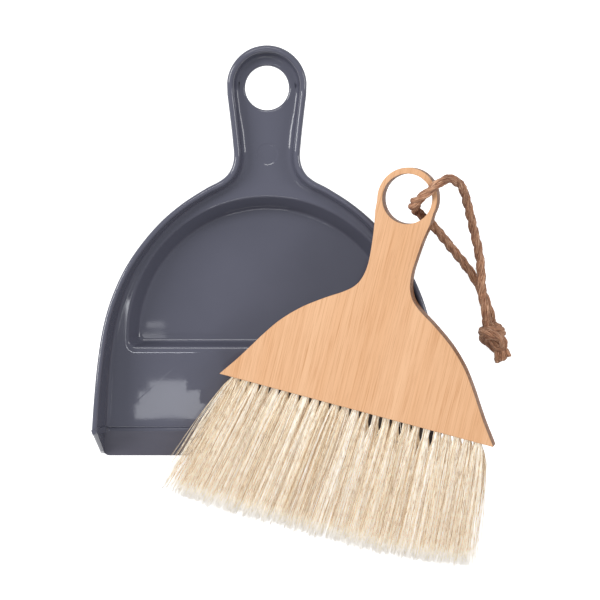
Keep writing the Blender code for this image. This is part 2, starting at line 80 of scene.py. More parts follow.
# Pan, as in the CAD model, with finer roundings.
PAN_WALL = 1.8
RIM_Z = 36.0
CHANNEL_DEPTH = 11.0
WALL_DRAFT = 0.14
ROLL_TRAY = 3.9
ROLL_HANDLE = 4.8
SKIRT = 1.2
SKIRT_HOLD = 0.3  # like the next two, the share of the way where an extra row of points goes
WALL_HOLDS = (0.08, 0.92)
WELL_WALL_HOLDS = (0.1, 0.9)
FOOT_FILLET = 2.6
FOOT_FILLET_HANDLE = 4.5
FOOT_FILLET_SHARE = 0.6  # the most of the wall's height that the fillet takes
RIM_RISE_SOFTNESS = 2.0
RIM_RISE_Y = (20.0, 60.0)
ROLL_WIDENS_Y = (58.0, 84.0)
SHAFT_STARTS_Y = (70.0, 95.0)
SHAFT_ENDS_Y = (105.0, 125.0)
FLOOR_FRONT_Y = -104.4
FLOOR_FRONT_Z = 5.2
FLOOR_RISE = 0.1155
NOSE_Y = -100.6  # from here the ramp's front edge turns down
NOSE_DROP = 2.0
NOSE_STEPS = 8
# The fins are the wall's low ends, on either side of the lip.
FIN_END = (-119.8, -121.5)
FIN_END_Z = 3.2
FIN_SKIRT_Z = 0.6
FIN_FOOT_X = 117.0
ROLL_FIN = 2.8
FIN_STEPS = 9
HEAD_CENTRE_Y = 139.0
HEAD_RADIUS = 28.1
HEAD_STARTS = 176  # degrees
HEAD_SAMPLES = 44
PAN_HOLE_Y = 138.5
PAN_HOLE_RADIUS = 15.4
PAN_HOLE_FILLET = 2.2
PAN_HOLE_COLLAR = 5.0
PAN_EDGE = [
    (-123.6, -104.4), (-122.4, -86.0), (-120.3, -62.0), (-117.4, -40.0), (-113.7, -22.5),
    (-108.0, -5.5), (-99.6, 12.0), (-88.4, 28.5), (-74.6, 44.2), (-59.6, 56.8), (-43.4, 67.2),
    (-32.6, 73.0), (-26.4, 79.0), (-23.4, 88.0), (-24.1, 101.0), (-26.0, 118.2), (-27.8, 133.0),
]
EDGE_SAMPLES = 7
ROLL_STEPS = 12
FILLET_STEPS = 7
CIRCLE_STEP = 5  # degrees
PAN_SHARP_DEGREES = 40
HOLD = 0.15  # an extra row of points this far past a rounding keeps the flat beyond it flat

# The well, a dome in plan with a straight front.
DOME_CENTRE_Y = -37.5
DOME_FRONT_STEPS = 12  # to each side of the middle
DOME_CORNER_STEPS = 10
DOME_ARC_STEPS = 120
WELL_TOP_RADIUS = 99.5
WELL_TOP_FRONT_Y = -44.8
WELL_FLOOR_RADIUS = 92.5
WELL_FLOOR_FRONT_Y = -41.0
WELL_CORNER = 5.0
WELL_EDGE_FILLET = 1.7
RIDGE_FILLET = 4.0  # along the well's straight front
WELL_FLOOR_FILLET = 2.2

# The round mark that the mould's ejector pin leaves on the handle's web.
EJECTOR_Y = 92.0
EJECTOR_RADIUS = 7.2
EJECTOR_DEPTH = 0.35
EJECTOR_EDGE = 0.6

# Soft lip.
LIP_HALF_WIDTH = 118.2
LIP_FRONT_Y = -123.1
LIP_FRONT_THICKNESS = 0.9
LIP_BACK_Y = -105.2
LIP_BACK_THICKNESS = 4.2
LIP_TONGUE_Y = -98.0
LIP_TONGUE_THICKNESS = 2.8
LIP_TONGUE_HALF_WIDTH = 108.0
LIP_CORNER = 4.5
LIP_CORNER_STEPS = 12
LIP_EDGE_ROUNDING = 0.9
LIP_SIDE_CLEARANCE = 1.0

# Brush.
BRUSH_PLACE = (64.9, -87.2, 27.1)
BRUSH_YAW = -14.15
BRUSH_TILT = 11.0
BRUSH_LEAN = 198.0
BLOCK_THICKNESS = 18.0
BLOCK_EDGE_BEVEL = 2.4
BLOCK_SHARP_DEGREES = 35
BLOCK_SAMPLES = 6
RING_CENTRE_V = 152.2
RING_RADIUS = 21.0
RING_TOP_V = 174.0
RING_STARTS = -15  # degrees
RING_SAMPLES = 40
HANGING_HOLE_RADIUS = 17.4
HANGING_HOLE_SIDES = 96
TUFT_HOLE_SIDES = 20
CUT_CLEARANCE = 5.0
BLOCK_EDGE = [
    (100.0, 0.0), (96.3, 5.2), (90.2, 13.6), (83.0, 24.6), (75.6, 36.2), (66.4, 48.6),
    (54.2, 60.6), (40.0, 71.0), (28.6, 78.2), (21.2, 84.4), (17.2, 92.0), (15.7, 102.0),
    (16.3, 114.0), (17.7, 127.0), (19.8, 139.0),
]

TUFT_PITCH = 7.4
TUFTS_IN_ROW = 25
BACK_ROW_SHIFT = -1.4
ROW_OFFSET = 3.9
HOLE_RADIUS = 2.8
HOLE_DEPTH = 9.0
TUFT_ROOT_RADIUS = 2.5
TUFT_ROOT_DEPTH = 7.5
TUFT_LENGTH = 86.0  # at the right end of the brush
TIP_BOW = 9.2  # what is added to it at TIP_BOW_U, because the line of the tips is bowed
TIP_BOW_U = -18.0
TIP_BOW_HALF_WIDTH = 110.0
TUFT_TIP_HALF_WIDTH = 5.4
TUFT_TIP_HALF_DEPTH = 3.8
TIP_ROW_OFFSET = 4.2
FAN_SPREAD = 1.19
FAN_LEAN = -7.8

# Bristles.
BRISTLES_IN_TUFT = 125
BRISTLE_STATIONS = 10
BRISTLE_ROOT_RADIUS = 0.21
BRISTLE_TIP_RADIUS = 0.07
CLUMPS_IN_TUFT = 9
CLUMP_PULL = 0.5
BRISTLE_RADIUS_VARIES = (0.8, 1.15)
STATION_CROWDING = 1.15  # above 1, the stations lie closer together near the root
LENGTH_SHARE = 1.004  # of TUFT_LENGTH, as are the next three
TUFT_LENGTH_SCATTER = 0.006
SHORT_BRISTLES = 0.034
LENGTH_VARIES = (-0.010, 0.020)
TUFT_LEAN_SCATTER = (0.9, 0.8)
BRISTLE_BEND = 0.40
BRISTLE_WANDER = 0.22
OPEN_BY = (0.3, 0.7)  # the share of their length by which the bristles of a tuft have spread
DARK_GAPS = (1.5, 2.5, 4.5, 6.5, 7.5)  # places in pitches where a gap between tufts stays open
DARK_GAP_HALF = 2.3
DARK_GAP_FADE = 0.5
DARK_GAP_END = 0.24  # of the bristles' length
GAP_FILL = 3.4  # the back row moves this far across, so that it shows between the front tufts
GAP_FILL_BY = 0.16  # of the bristles' length
OUTER_U = (60.0, 92.0)  # the end tufts are looser and wider
END_WIDENING = 0.4
STRAY_U = (78.0, 89.0)  # the left end is looser still
STRAY = 0.7
STRAY_AT_ENDS = 2.2
STRAY_AT_LEFT = 3.0
TABLE_GAP = 0.3

# Tones of the bristles, from 0 for tan to 1 for nearly white.
TONE_SPREAD = (1.3, 1.0)
CLUMP_TONE_SCATTER = 0.12
TAN_BRISTLES = 0.10
BACK_ROW_PAINTED_SHADE = 0.5  # painted shade: the back row is darker, because less light gets there
TIP_TONE = 0.7  # what is added over the end of a bristle
TIP_TONE_OVER = (0.9, 1.0)

# Lanyard.
CORD_DIAMETER = 6.8
CORD_ROUTE = [
    (157.2, -26.3, 11.0), (156.3, -21.8, 11.0), (154.9, -14.2, 11.1), (153.5, -6.2, 11.3),
    (152.9, 1.8, 11.9), (152.5, 9.8, 13.2), (151.5, 17.8, 15.2), (149.8, 25.9, 18.2),
    (147.6, 34.0, 22.4), (145.1, 42.6, 27.8), (142.6, 51.0, 34.0), (140.0, 58.8, 41.0),
    (137.2, 65.4, 48.8), (133.0, 70.2, 57.0), (127.2, 72.3, 64.2), (121.2, 70.6, 68.6),
    (115.4, 66.2, 69.4), (109.6, 61.6, 67.4), (104.8, 57.8, 61.6), (102.9, 54.8, 54.0),
    (104.2, 51.8, 45.6), (108.8, 48.0, 39.4), (114.8, 43.4, 36.2), (120.4, 37.6, 31.2),
    (126.0, 31.4, 24.8), (131.2, 25.6, 18.4), (136.3, 20.0, 12.6), (141.2, 14.4, 8.0),
    (145.6, 8.8, 5.0), (149.4, 3.0, 4.0), (152.6, -3.0, 3.8), (155.4, -8.8, 3.8),
    (157.8, -14.6, 3.8), (159.6, -20.4, 3.8), (160.8, -25.8, 3.8),
]
RING_BEND = 19  # the number of the route's point where it turns inside the ring
CORD_SAMPLES = 12
CORD_STEP = 0.9
KNOT_CENTRE = (161.2, -37.2, 8.9)
KNOT_HEADING = (0.17, -0.985, 0.0)
PLIES = 3
LAY_LENGTH = 33.0  # of one full turn of a ply
PLY_RADIUS = 1.85
PLY_HELIX_RADIUS = 1.55
PLY_SIDES = 18
PLY_WANDER = 0.05
PLY_WANDER_LENGTH = 5.3
PLY_WANDER_PHASE = 2.1
PLY_UNEVEN = 0.22
SKIN_WAVES = 7
SKIN_WAVE_RATE = (0.2, 2.6)
SKIN_WAVE_TURNS = 5
BEND_OPENING = 0.5  # the plies open where the cord turns inside the ring
BEND_REACH = 13.0
TAIL_SPLAY = 0.35  # and at the cut ends
TAIL_SPLAY_LENGTH = 7.0
PLY_PATTERN_SHIFT = 400.0  # each ply shows another part of the fibre pattern
PATTERN_SCATTER = 37.0
# Both ends of the loop go through the knot. Places are along the knot, across it and up, from
# its middle.
KNOT_ROUTES = (
    [(-12.6, -2.3, 2.1), (-8.5, -2.6, 1.6), (-3.0, -1.6, -0.6), (3.0, -0.6, -0.6), (7.4, 2.2, 0.4),
     (8.0, 5.4, 2.4), (4.8, 5.8, 5.4), (0.8, 3.0, 8.0), (-2.4, -1.6, 8.2), (-4.0, -5.4, 5.4),
     (-2.2, -7.0, 0.6), (2.4, -5.2, -3.4), (6.6, -0.8, -4.0), (10.6, 1.8, -2.6), (14.4, 2.4, -2.0),
     (18.4, 3.0, -2.0)],
    [(-12.5, 1.6, -5.1), (-8.6, 1.4, -4.0), (-6.0, 3.4, -0.8), (-4.4, 6.0, 1.8), (-3.8, 3.2, 5.2),
     (-4.4, -1.8, 5.4), (-5.0, -5.8, 2.0), (-4.8, -5.2, -2.6), (-4.0, -0.6, -5.2),
     (-2.8, 4.6, -3.8), (-1.4, 6.4, 0.6), (-0.2, 3.4, 5.0), (-0.8, -2.0, 5.2), (0.6, -3.0, 1.6),
     (5.0, 0.6, 0.6),
     (10.0, 4.8, -0.6), (16.6, 7.6, -1.8)],
)
KNOT_CORD_SCALE = 1.04
KNOT_SAMPLES = 10

# Loose fibres.
ROPE_HAIRS = 260
KNOT_HAIRS = 60  # on each of its two ends
HAIR_RADIUS = 0.07
HAIR_POINTS = 5
HAIR_LENGTH = (1.5, 5.0)
HAIR_LEAN = (0.5, 1.0)
HAIR_TURN = 0.35
HAIR_RISE = (0.15, 0.45)
HAIR_ARCH = 0.8
HAIR_ROOT = 0.9  # of the cord's radius
HAIR_WANDER = 0.25
HAIR_LOWEST_Z = 0.25

# The sockets of a colour mix node.
MIX_FACTOR, MIX_FIRST, MIX_SECOND, MIX_RESULT = 0, 6, 7, 2


def link(obj):
    bpy.context.scene.collection.objects.link(obj)
    return obj


def smooth_curve(points, per_span):
    """A Catmull-Rom curve through the points, with per_span samples to each span."""
    p = np.array(points, float)
    p = np.vstack([2 * p[0] - p[1], p, 2 * p[-1] - p[-2]])
    samples = []
    for a, b, c, d in zip(p, p[1:], p[2:], p[3:]):
        for k in range(per_span):
            t = k / per_span
            samples.append(
                0.5 * (2 * b + (c - a) * t + (2 * a - 5 * b + 4 * c - d) * t**2
                       + (3 * b - a - 3 * c + d) * t**3)
            )
    samples.append(p[-2])
    return np.array(samples)


def even_steps(path, step):
    """The path read again at even distances of about one step."""
    lengths = np.linalg.norm(np.diff(path, axis=0), axis=1)
    along = np.concatenate([[0.0], np.cumsum(lengths)])
    at = np.linspace(0.0, along[-1], max(2, round(along[-1] / step)) + 1)
    return np.column_stack([np.interp(at, along, path[:, axis]) for axis in range(path.shape[1])])


def fillet(start, corner, end, parts):
    steps = [k / parts for k in range(parts + 1)]
    return [(1 - t) ** 2 * start + 2 * t * (1 - t) * corner + t**2 * end for t in steps]


def blend(y, low, high):
    t = np.clip((y - low) / (high - low), 0.0, 1.0)
    return t * t * (3 - 2 * t)


def unit(vectors):
    return vectors / np.linalg.norm(vectors, axis=-1, keepdims=True)


# Camera, table and light.


def make_camera():
    data = bpy.data.cameras.new("camera")
    data.sensor_width = SENSOR_WIDTH
    data.lens = SENSOR_WIDTH * CAMERA_PLACE[2] / VIEW_WIDTH
    camera = link(bpy.data.objects.new("camera", data))
    camera.location = Vector(CAMERA_PLACE) * MM
    bpy.context.scene.camera = camera


def make_table():
    bpy.ops.mesh.primitive_plane_add(size=2 * TABLE_HALF, location=(0, 0, 0))
    table = bpy.context.object
    table.name = "table"
    made, shader = new_material("pale_table", 0.9)
    shader.inputs["Base Color"].default_value = (TABLE_GREY, TABLE_GREY, TABLE_GREY, 1)
    shader.inputs["Emission Color"].default_value = (1, 1, 1, 1)
    shader.inputs["Emission Strength"].default_value = TABLE_GLOW
    table.data.materials.append(made)
    table.visible_diffuse = False  # it throws no light back, as under an object cut out on white


def make_softbox(name, place, width, height, radiance, aim=LIGHTS_AIM):
    """A rectangular light that faces aim. Its power follows from how bright its face is to be."""
    data = bpy.data.lights.new(name, "AREA")
    data.shape = "RECTANGLE"
    data.size, data.size_y = width, height
    data.energy = radiance * math.pi * width * height
    light = link(bpy.data.objects.new(name, data))
    light.location = place
    light.rotation_euler = (Vector(aim) - Vector(place)).to_track_quat("-Z", "Y").to_euler()
    return light


def make_lights():
    for name, (place, width, height, radiance) in SOFTBOXES.items():
        make_softbox(name, place, width, height, radiance)
    for number, (x, y, width, height, radiance) in enumerate(MIRRORED_LIGHTS):
        place = (x, y, MIRRORED_LIGHT_Z)
        light = make_softbox(f"mirrored_{number}", place, width, height, radiance, aim=(x, y, 0))
        light.data.color = MIRRORED_LIGHT_COLOUR
    world = bpy.data.worlds.new("studio")
    bpy.context.scene.world = world
    world.use_nodes = True
    background = world.node_tree.nodes["Background"]
    background.inputs["Color"].default_value = (*SKY_COLOUR, 1)
    background.inputs["Strength"].default_value = SKY_STRENGTH
    bpy.context.scene.view_settings.view_transform = "Standard"


# Materials.


def new_material(name, roughness):
    made = bpy.data.materials.new(name)
    made.use_nodes = True
    shader = made.node_tree.nodes["Principled BSDF"]
    shader.inputs["Roughness"].default_value = roughness
    return made, shader


def add_node(made, kind, **settings):
    new = made.node_tree.nodes.new(kind)
    for name, value in settings.items():
        setattr(new, name, value)
    return new


def join(made, output, socket):
    made.node_tree.links.new(output, socket)


def object_place(made, scale, base=None):
    """The object's own coordinates, in metres, stretched by scale. If base, a matrix, is given,
    they are read in its frame."""
    place = add_node(made, "ShaderNodeTexCoord").outputs["Object"]
    if base is not None:
        moved = add_node(made, "ShaderNodeMapping", vector_type="TEXTURE")
        moved.inputs["Location"].default_value = base.translation
        moved.inputs["Rotation"].default_value = base.to_euler()
        join(made, place, moved.inputs["Vector"])
        place = moved.outputs["Vector"]
    stretch = add_node(made, "ShaderNodeMapping")
    stretch.inputs["Scale"].default_value = scale
    join(made, place, stretch.inputs["Vector"])
    return stretch.outputs["Vector"]


def noise(made, vector, detail=2.0, roughness=0.5, distortion=0.0):
    """A noise value over a vector that already has its scale."""
    texture = add_node(made, "ShaderNodeTexNoise")
    join(made, vector, texture.inputs["Vector"])
    texture.inputs["Scale"].default_value = 1.0
    texture.inputs["Detail"].default_value = detail
    texture.inputs["Roughness"].default_value = roughness
    texture.inputs["Distortion"].default_value = distortion
    return texture.outputs["Fac"]


def ramp(made, value, *stops):
    """Colours or greys at places from 0 to 1."""
    band = add_node(made, "ShaderNodeValToRGB")
    elements = band.color_ramp.elements
    while len(elements) < len(stops):
        elements.new(0.5)
    for element, (place, colour) in zip(elements, stops):
        element.position = place
        element.color = (*colour, 1) if isinstance(colour, tuple) else (colour, colour, colour, 1)
    join(made, value, band.inputs["Fac"])
    return band.outputs["Color"]


def mix(made, factor, first, second, how="MIX"):
    """Mixes two colour outputs. factor is a number or an output."""
    node = add_node(made, "ShaderNodeMix", data_type="RGBA", blend_type=how)
    if isinstance(factor, (int, float)):
        node.inputs[MIX_FACTOR].default_value = factor
    else:
        join(made, factor, node.inputs[MIX_FACTOR])
    join(made, first, node.inputs[MIX_FIRST])
    join(made, second, node.inputs[MIX_SECOND])
    return node.outputs[MIX_RESULT]


def add_bump(made, shader, *heights):
    """Bumps one on another. Each is an output and its height in millimetres."""
    normal = None
    for height, depth in heights:
        bump = add_node(made, "ShaderNodeBump")
        bump.inputs["Distance"].default_value = depth * MM
        join(made, height, bump.inputs["Height"])
        if normal is not None:
            join(made, normal, bump.inputs["Normal"])
        normal = bump.outputs["Normal"]
    join(made, normal, shader.inputs["Normal"])


def plastic_material():
    """Glossy moulded plastic: faint tone drift, moulding waves, orange peel and rub marks."""
    made, shader = new_material("slate_plastic_gloss", 0.03)
    drift = noise(made, object_place(made, (14, 14, 14)), 3.0)
    base = ramp(made, drift, (0.3, (0.097, 0.099, 0.132)), (0.7, (0.109, 0.111, 0.148)))
    join(made, base, shader.inputs["Base Color"])
    rubbed = noise(made, object_place(made, (60, 22, 60)), 6.0, 0.7)
    join(made, ramp(made, rubbed, (0.35, 0.015), (0.75, 0.05)), shader.inputs["Roughness"])
    wave = noise(made, object_place(made, (22, 22, 22)), 1.0)
    peel = noise(made, object_place(made, (500, 500, 500)), 1.0)
    add_bump(made, shader, (wave, 0.035), (peel, 0.001))
    return made


def lip_material():
    """The same slate colour in a softer, duller plastic."""
    made, shader = new_material("slate_soft_lip_satin", 0.42)
    drift = noise(made, object_place(made, (20, 60, 20)), 3.0)
    base = ramp(made, drift, (0.3, (0.082, 0.080, 0.106)), (0.7, (0.096, 0.094, 0.122)))
    join(made, base, shader.inputs["Base Color"])
    grain = noise(made, object_place(made, (1400, 1400, 1400)), 3.0)
    join(made, ramp(made, grain, (0.3, 0.36), (0.7, 0.48)), shader.inputs["Roughness"])
    streak = noise(made, object_place(made, (300, 30, 300)), 2.0)
    add_bump(made, shader, (grain, 0.010), (streak, 0.05))
    return made


def wood_material(placed):
    """Pale wood: long close grain, a few broader bands and pores, with painted shade on its sides
    and underside.
    """
    made, shader = new_material("pale_wood_satin", 0.42)
    bands = noise(made, object_place(made, (60, 1.2, 8), placed), 2.0)
    tone = ramp(made, bands, (0.30, (0.73, 0.412, 0.222)), (0.5, (0.76, 0.446, 0.253)),
                (0.70, (0.79, 0.477, 0.278)))
    fibre = noise(made, object_place(made, (1250, 22, 60), placed), 4.0, 0.7, 0.1)
    fibre_tone = ramp(made, fibre, (0.32, (0.80, 0.70, 0.60)), (0.50, (1.0, 1.0, 1.0)),
                      (0.70, (1.05, 1.06, 1.06)))
    wide = noise(made, object_place(made, (330, 3, 30), placed), 3.0, 0.6, 0.5)
    wide_tone = ramp(made, wide, (0.28, (0.90, 0.84, 0.78)), (0.5, (1.0, 1.0, 1.0)),
                     (0.75, (1.03, 1.04, 1.05)))
    colour = mix(made, 0.95, tone, fibre_tone, "MULTIPLY")
    colour = mix(made, 0.5, colour, wide_tone, "MULTIPLY")
    pores = noise(made, object_place(made, (2600, 90, 300), placed), 2.0)
    pore_mark = ramp(made, pores, (0.68, 1.0), (0.76, 0.66))
    colour = mix(made, 0.4, colour, pore_mark, "MULTIPLY")
    # Painted shade: the faces that turn away from the plate's top are darkened, the sides and most
    # of all the underside; on the sides a little of it is the wood's darker side grain.
    facing = add_node(made, "ShaderNodeVectorMath", operation="DOT_PRODUCT")
    join(made, add_node(made, "ShaderNodeTexCoord").outputs["Normal"], facing.inputs[0])
    facing.inputs[1].default_value = placed.to_3x3().col[2]
    painted_shade_and_side_grain = ramp(made, facing.outputs["Value"], (0.05, (0.34, 0.25, 0.18)),
                     (0.55, (1.0, 1.0, 1.0)))
    colour = mix(made, 1.0, colour, painted_shade_and_side_grain, "MULTIPLY")
    join(made, colour, shader.inputs["Base Color"])
    shader.inputs["Specular IOR Level"].default_value = 0.06
    join(made, ramp(made, fibre, (0.3, 0.55), (0.7, 0.40)), shader.inputs["Roughness"])
    add_bump(made, shader, (fibre, 0.03), (pore_mark, 0.02))
    return made


def attribute(made, name, output):
    node = add_node(made, "ShaderNodeAttribute", attribute_name=name)
    return node.outputs[output]


def bristle_material(placed):
    """Natural fibre bristles, tan, cream or nearly white, each with darker specks."""
    made, shader = new_material("cream_bristle_fibre", 0.5)
    tone = attribute(made, "tone", "Fac")
    base = ramp(made, tone, (0.0, (0.50, 0.34, 0.20)), (0.16, (0.82, 0.67, 0.47)),
                (0.45, (0.95, 0.87, 0.72)), (1.0, (0.98, 0.95, 0.90)))
    specks = noise(made, object_place(made, (900, 220, 900), placed), 3.0)
    speck_tone = ramp(made, specks, (0.34, (0.66, 0.60, 0.53)), (0.52, (1.0, 1.0, 1.0)))
    colour = mix(made, 0.9, base, speck_tone, "MULTIPLY")
    join(made, colour, shader.inputs["Base Color"])
    # A weak glow stands in for the light that passes through thin pale fibres.
    join(made, colour, shader.inputs["Emission Color"])
    shader.inputs["Emission Strength"].default_value = 0.24
    join(made, ramp(made, specks, (0.3, 0.42), (0.7, 0.58)), shader.inputs["Roughness"])
    add_bump(made, shader, (specks, 0.02))
    return made


def jute_material():
    """Jute: fine fibres along each ply, brown in the grooves and straw coloured on top."""
    made, shader = new_material("brown_jute_fibre", 0.85)
    place = attribute(made, "ply_place", "Vector")
    stretch = add_node(made, "ShaderNodeMapping")
    stretch.inputs["Scale"].default_value = (3.6, 3.6, 0.16)
    join(made, place, stretch.inputs["Vector"])
    fibres = noise(made, stretch.outputs["Vector"], 4.0, 0.7)
    base = ramp(made, fibres, (0.36, (0.13, 0.050, 0.026)), (0.46, (0.36, 0.168, 0.092)),
                (0.56, (0.56, 0.295, 0.172)), (0.67, (0.90, 0.62, 0.42)))
    patches = noise(made, object_place(made, (120, 120, 120)), 2.0)
    patch_tone = ramp(made, patches, (0.3, (0.80, 0.78, 0.76)), (0.7, (1.12, 1.10, 1.08)))
    join(made, mix(made, 0.7, base, patch_tone, "MULTIPLY"), shader.inputs["Base Color"])
    shader.inputs["Sheen Weight"].default_value = 0.08
    add_bump(made, shader, (fibres, 0.6))
    return made


# Meshes.


def mesh_object(name, points, faces, finish, values=None):
    """An object from points in metres. values are numbers or vectors kept on its points."""
    mesh = bpy.data.meshes.new(name)
    mesh.from_pydata(points.tolist(), [], faces)
    for key, data in (values or {}).items():
        kind, field = ("FLOAT", "value") if data.ndim == 1 else ("FLOAT_VECTOR", "vector")
        kept = mesh.attributes.new(key, kind, "POINT")
        kept.data.foreach_set(field, data.astype(np.float32).ravel())
    mesh.shade_smooth()
    mesh.materials.append(finish)
    return link(bpy.data.objects.new(name, mesh))


def bm_object(name, bm, finish, sharp_degrees=35):
    mesh = bpy.data.meshes.new(name)
    bm.to_mesh(mesh)
    bm.free()
    mesh.shade_smooth()
    mesh.set_sharp_from_angle(angle=math.radians(sharp_degrees))
    if finish:
        mesh.materials.append(finish)
    return link(bpy.data.objects.new(name, mesh))


def round_edges(obj, width, segments, degrees):
    soften = obj.modifiers.new("soft_edges", "BEVEL")
    soften.width = width * MM
    soften.segments = segments
    soften.limit_method = "ANGLE"
    soften.angle_limit = math.radians(degrees)


def add_boolean(obj, name, operation, other):
    made = obj.modifiers.new(name, "BOOLEAN")
    made.operation = operation
    made.object = other
    made.solver = "EXACT"


def apply_modifiers(obj):
    """The evaluated mesh takes the place of the object's own."""
    shown = obj.evaluated_get(bpy.context.evaluated_depsgraph_get())
    mesh = bpy.data.meshes.new_from_object(shown)
    obj.modifiers.clear()
    obj.data = mesh


# Pan.


def floor_z(y):
    """Height of the sloping plane, which turns down at the ramp's front edge."""
    over = np.clip((NOSE_Y - y) / (NOSE_Y - FLOOR_FRONT_Y), 0.0, 1.0)
    return FLOOR_FRONT_Z + FLOOR_RISE * (y - FLOOR_FRONT_Y) - NOSE_DROP * (1 - np.sqrt(1 - over**2))


def on_floor(xy):
    return np.column_stack([xy, floor_z(xy[:, 1])])


def pan_outline():
    """(plan points, number of fin stations, share of the way along the fin) of the rim."""
    corner = np.array(PAN_EDGE[0])
    shares = np.linspace(1.0, 0.02, FIN_STEPS)
    fin = corner + shares[:, None] * (np.array(FIN_END) - corner)
    side = smooth_curve(PAN_EDGE, EDGE_SAMPLES)
    turn = np.radians(np.linspace(90, 0, NOSE_STEPS + 1))
    nose_y = NOSE_Y - (NOSE_Y - FLOOR_FRONT_Y) * np.sin(turn)
    nose_y = np.append(nose_y, NOSE_Y + HOLD)
    nose = np.column_stack([np.interp(nose_y, side[:, 1], side[:, 0]), nose_y])
    side = side[side[:, 1] > NOSE_Y + 2 * HOLD]
    angles = np.radians(np.linspace(HEAD_STARTS, 90, HEAD_SAMPLES))
    head = HEAD_RADIUS * np.column_stack([np.cos(angles), np.sin(angles)]) + (0, HEAD_CENTRE_Y)
    left = np.vstack([fin, nose, side, head])
    right = left[-2::-1] * (-1, 1)
    fin_share = np.zeros(len(left) + len(right))
    fin_share[:FIN_STEPS] = shares
    return np.vstack([left, right]), FIN_STEPS, np.maximum(fin_share, fin_share[::-1])


def inward_normals(outline):
    ahead = np.gradient(outline, axis=0)
    return unit(np.column_stack([ahead[:, 1], -ahead[:, 0]]))


def rim_sizes(y, fin):
    """At each station: (height of the rim's top, width of its roll, radius of the wall's foot)."""
    handle = blend(y, *ROLL_WIDENS_Y)[:, None]
    raised = floor_z(y) + CHANNEL_DEPTH - RIM_Z
    eased = 0.5 * (raised + np.sqrt(raised**2 + RIM_RISE_SOFTNESS**2))
    top = (RIM_Z + eased * blend(y, *RIM_RISE_Y))[:, None] * (1 - fin) + FIN_END_Z * fin
    width = ROLL_TRAY + (ROLL_HANDLE - ROLL_TRAY) * handle + (ROLL_FIN - ROLL_TRAY) * fin
    shaft = (blend(y, *SHAFT_STARTS_Y) * (1 - blend(y, *SHAFT_ENDS_Y)))[:, None]
    return top, width, FOOT_FILLET + (FOOT_FILLET_HANDLE - FOOT_FILLET) * shaft


def rim_and_wall_rows():
    """(rows from the rim's outer edge over its roll and down the wall, rows of the fillet that
    joins the wall to the floor, the stretch that has this fillet). The fins have no floor."""
    outline, fins, fin = pan_outline()
    y, count = outline[:, 1], len(outline)
    fin = fin[:, None]
    is_fin = fin > 0
    sideways = np.column_stack([-np.sign(outline[:, 0]), np.zeros(count)])
    normals = np.where(is_fin, sideways, inward_normals(outline))
    top, width, rounding = rim_sizes(y, fin)

    def point(inset, z):
        return np.column_stack([outline + normals * inset, z])

    radius = width / 2
    skirt = np.minimum(SKIRT, radius * (1 - fin))
    rows = [point(0 * width, top - radius - share * skirt) for share in (1, SKIRT_HOLD)]
    for angle in np.linspace(0, math.pi, ROLL_STEPS + 1):
        z = top - radius + radius * math.sin(angle)
        rows.append(point(radius * (1 - math.cos(angle)), z))
    height = top - radius - floor_z(y)[:, None]
    draft = width + WALL_DRAFT * np.maximum(height, 0.0)
    foot = point(np.where(is_fin, np.abs(outline[:, :1]) - FIN_FOOT_X, draft), top)
    foot[:, 2] = floor_z(foot[:, 1]) * (1 - fin[:, 0]) + FIN_SKIRT_Z * fin[:, 0]
    roll_end = rows[-1]
    wall = roll_end - foot
    length = np.linalg.norm(wall, axis=1)[:, None]
    start = foot + wall / length * np.minimum(rounding, FOOT_FILLET_SHARE * length) * ~is_fin
    rows += [roll_end + share * (start - roll_end) for share in WALL_HOLDS]
    inner, hold = (on_floor(foot[:, :2] + normals * reach) for reach in (rounding, rounding + HOLD))
    tray = slice(fins, count - fins)
    rounded = fillet(start, foot, inner, FILLET_STEPS) + [hold]
    return rows + rounded[:1], [row[tray] for row in rounded[1:]], tray


def arc(centre, radius, first, last, steps):
    """Points from first up to last, which is left out."""
    angles = np.linspace(first, last, steps + 1)[:-1]
    return np.array(centre) + radius * np.column_stack([np.cos(angles), np.sin(angles)])


def dome_loop(radius, front_y, corner):
    """A closed plan: a large arc that ends in a straight front, with rounded corners."""
    rise = front_y + corner - DOME_CENTRE_Y
    turn_x = math.sqrt((radius - corner) ** 2 - rise**2)
    low = math.atan2(rise, turn_x)
    straight = turn_x * np.arange(-DOME_FRONT_STEPS, DOME_FRONT_STEPS) / DOME_FRONT_STEPS
    return np.vstack([
        np.column_stack([straight, np.full(len(straight), front_y)]),
        arc((turn_x, front_y + corner), corner, -math.pi / 2, low, DOME_CORNER_STEPS),
        arc((0, DOME_CENTRE_Y), radius, low, math.pi - low, DOME_ARC_STEPS),
        arc((-turn_x, front_y + corner), corner, math.pi - low, 1.5 * math.pi, DOME_CORNER_STEPS),
    ])


def well_rows():
    """Closed rows from the ledge over the well's edge, down its wall and onto its flat floor."""

    def ledge(outset):
        front = WELL_TOP_FRONT_Y - outset * RIDGE_FILLET / WELL_EDGE_FILLET
        return on_floor(dome_loop(WELL_TOP_RADIUS + outset, front, WELL_CORNER + outset))

    def floor(inset):
        plan = dome_loop(WELL_FLOOR_RADIUS - inset, WELL_FLOOR_FRONT_Y + inset, WELL_CORNER - inset)
        return np.column_stack([plan, np.full(len(plan), PAN_WALL)])

    edge, inside = WELL_EDGE_FILLET, WELL_FLOOR_FILLET
    top, low = ledge(0), floor(0)
    down = unit(low - top)
    upper = fillet(ledge(edge), top, top + down * edge, FILLET_STEPS)
    lower = fillet(low - down * inside, low, floor(inside), FILLET_STEPS)
    holds = [upper[-1] + share * (lower[0] - upper[-1]) for share in WELL_WALL_HOLDS]
    return [ledge(edge + HOLD)] + upper + holds + lower + [floor(inside + HOLD)]


def web_circle(centre_y, radius, drop):
    circle = arc((0, centre_y), radius, 0, 2 * math.pi, 360 // CIRCLE_STEP)
    return on_floor(circle) - (0, 0, drop)


